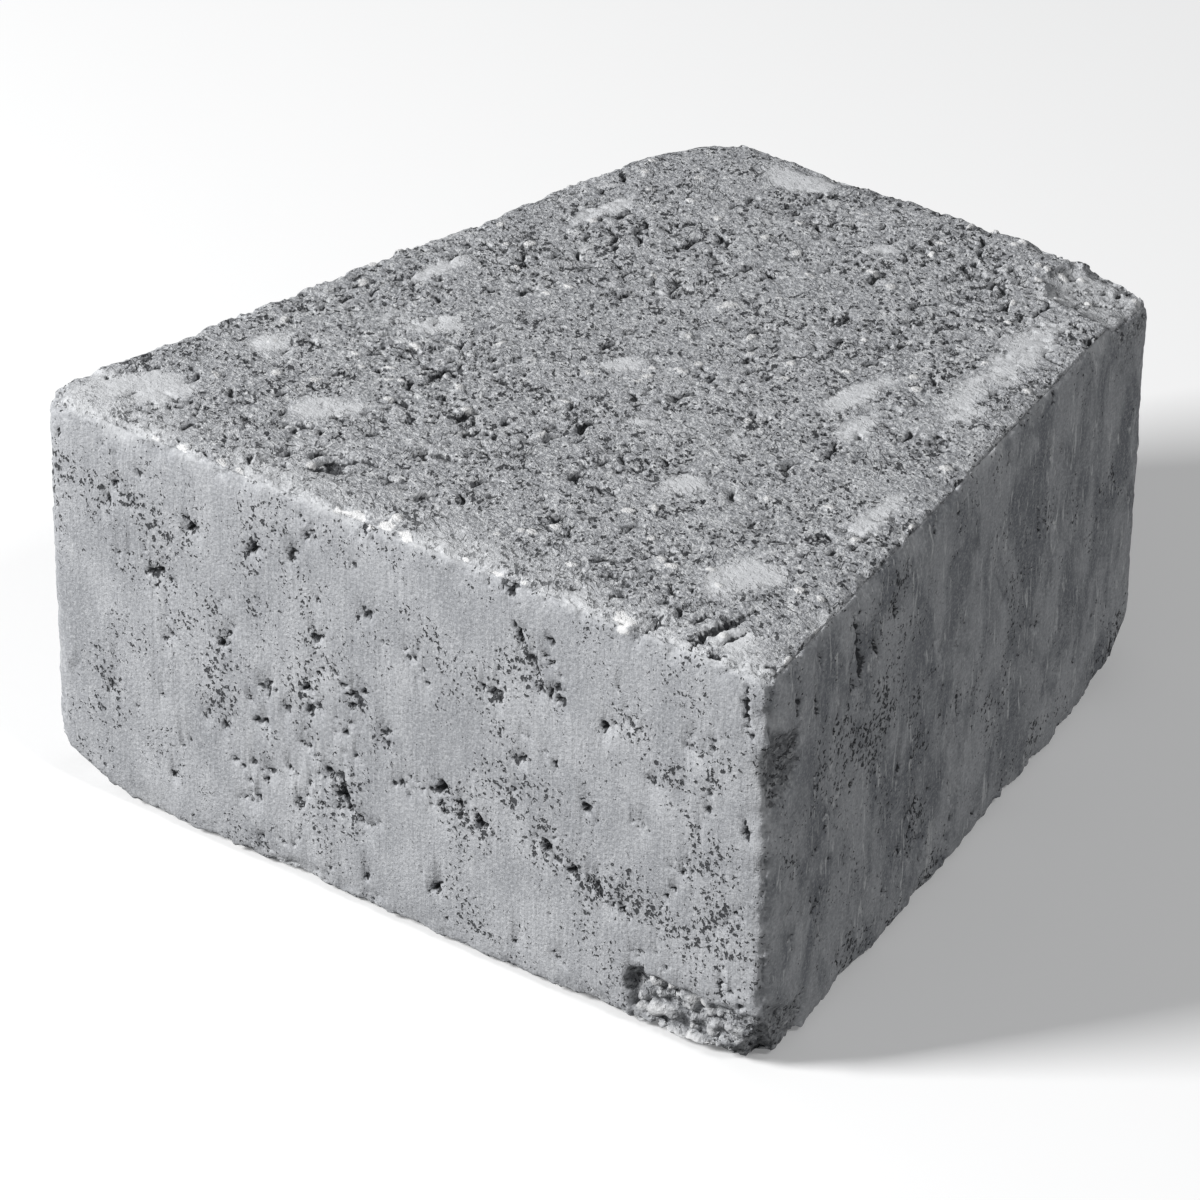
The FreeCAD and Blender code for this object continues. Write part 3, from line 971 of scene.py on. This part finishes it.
def concrete():
    """Grey cement paste: drag marks and blow holes on the moulded sides, grains on the rough top and bed."""
    material = bpy.data.materials.new("tumbled_concrete")
    material.use_nodes = True
    nodes = Nodes(material)
    places = nodes.add("TexCoord").outputs["Object"]
    raked = nodes.stretched(places, (1.0, 0.66, 1.0), RAKE)
    crumbs = nodes.noise(places, 1.0, 2.0, 0.6)
    sand = nodes.noise(raked, 0.8, 2.0, 0.6)
    maps = Maps(nodes)

    # The mesh's own pits get crisp, crumbling rims.
    pit = nodes.ramp(nodes.math("ADD", nodes.times(maps.pit, 0.8), crumbs), 0.85, 1.28)
    holes = small_holes(nodes, places, raked, maps)
    colour = paste_colour(nodes, places, raked, maps, sand)
    # Painted shade: the small holes and the mesh's pits are coloured near black, as their shadow.
    colour = nodes.mix(nodes.times(holes, 0.92), colour, HOLE_SHADE)
    colour = nodes.mix(nodes.times(pit, 0.92), colour, HOLE_SHADE)
    white = nodes.ramp(nodes.math("ADD", maps.grain, crumbs), 0.85, 1.2)
    colour = nodes.mix(nodes.times(white, 0.9), colour, WHITE_GRAIN)

    height = fine_relief(nodes, places, maps)
    height = nodes.math("SUBTRACT", height, nodes.times(holes, 0.6))
    height = nodes.math("SUBTRACT", height, nodes.times(pit, 0.4))
    bump = nodes.add("Bump")
    bump.inputs["Strength"].default_value = 1.0
    bump.inputs["Distance"].default_value = MM
    nodes.link(height, bump.inputs["Height"])

    shader = nodes.add("BsdfPrincipled")
    shader.inputs["Specular IOR Level"].default_value = 0.25
    nodes.link(colour, shader.inputs["Base Color"])
    nodes.link(nodes.ramp(sand, 0.2, 0.8, 0.80, 0.97), shader.inputs["Roughness"])
    nodes.link(bump.outputs["Normal"], shader.inputs["Normal"])
    out = nodes.add("OutputMaterial")
    nodes.link(shader.outputs["BSDF"], out.inputs["Surface"])
    return material


# ---------------------------------------------------------------- studio and camera

CAMERA_AZIMUTH = math.radians(37.09)
CAMERA_ELEVATION = math.radians(30.13)
CAMERA_ROLL = math.radians(0.63)
CAMERA_DISTANCE = 1.6244
CAMERA_LENS = 173.8
SENSOR_WIDTH = 36.0
AIM_OFFSET = (-0.01888, -0.0146)


def direction(azimuth, elevation):
    """The unit vector at an azimuth, from the front towards the right, and an elevation."""
    level = math.cos(elevation)
    return Vector((math.sin(azimuth) * level, -math.cos(azimuth) * level, math.sin(elevation)))


def place_camera():
    """A long lens from the right front, above the block, aimed a little off its middle."""
    back = direction(CAMERA_AZIMUTH, CAMERA_ELEVATION)
    level = Vector((0, 0, 1)).cross(back).normalized()
    turned = Matrix.Rotation(CAMERA_ROLL, 3, back)
    right = turned @ level
    up = back.cross(right)
    middle = Vector((0, 0, HEIGHT * MM / 2))
    aim = middle + right * AIM_OFFSET[0] + up * AIM_OFFSET[1]
    camera = bpy.data.objects.new("camera", bpy.data.cameras.new("camera"))
    camera.data.lens = CAMERA_LENS
    camera.data.sensor_width = SENSOR_WIDTH
    camera.data.clip_start = 0.05
    camera.data.clip_end = 50
    axes = Matrix((right, up, back)).transposed()
    camera.matrix_world = Matrix.Translation(aim + back * CAMERA_DISTANCE) @ axes.to_4x4()
    bpy.context.scene.collection.objects.link(camera)
    bpy.context.scene.camera = camera


def area_light(name, azimuth, elevation, distance, size, power):
    """A soft square lamp that looks at the block. Azimuth 0 is in front, 90 is on the right."""
    place = direction(math.radians(azimuth), math.radians(elevation)) * distance
    lamp = bpy.data.objects.new(name, bpy.data.lights.new(name, "AREA"))
    lamp.data.size = size
    lamp.data.energy = power
    lamp.location = place
    lamp.rotation_euler = place.to_track_quat("Z", "Y").to_euler()
    lamp.visible_camera = False
    bpy.context.scene.collection.objects.link(lamp)


def build_studio():
    """A pale floor and surround, a soft key lamp from the left front and a weak one from the right."""
    half = 6.0
    mesh = bpy.data.meshes.new("studio_floor")
    rim = [(-half, -half, 0), (half, -half, 0), (half, half, 0), (-half, half, 0)]
    mesh.from_pydata(rim, [], [(0, 1, 2, 3)])
    floor = bpy.data.objects.new("studio_floor", mesh)
    bpy.context.scene.collection.objects.link(floor)
    paint = bpy.data.materials.new("studio_floor")
    paint.use_nodes = True
    shader = paint.node_tree.nodes["Principled BSDF"]
    shader.inputs["Base Color"].default_value = (0.9, 0.9, 0.9, 1)
    shader.inputs["Roughness"].default_value = 0.95
    shader.inputs["Specular IOR Level"].default_value = 0.0
    shader.inputs["Emission Color"].default_value = (1, 1, 1, 1)
    shader.inputs["Emission Strength"].default_value = 0.13  # lifts the shadow on the floor
    mesh.materials.append(paint)
    # The floor throws no light back, so the block's shaded side stays dark.
    floor.visible_diffuse = False

    world = bpy.data.worlds.new("studio")
    world.use_nodes = True
    world.node_tree.nodes["Background"].inputs["Color"].default_value = (0.97, 0.985, 1.0, 1)
    world.node_tree.nodes["Background"].inputs["Strength"].default_value = 0.17
    bpy.context.scene.world = world
    area_light("key", azimuth=-40, elevation=32, distance=3.0, size=0.8, power=112)
    area_light("fill", azimuth=78, elevation=48, distance=3.0, size=0.5, power=17)
    bpy.context.scene.view_settings.view_transform = "Standard"


def build_block():
    """The visible block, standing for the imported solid."""
    points, quads, maps = shape_block()
    block = mesh_from("wall_block", points, quads, maps)
    thin_out(block, TRIANGLE_LIMIT)
    keep_inside(block)
    block.data.materials.append(concrete())
    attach(block, "root")
    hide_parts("block")


place_camera()
build_studio()
build_block()
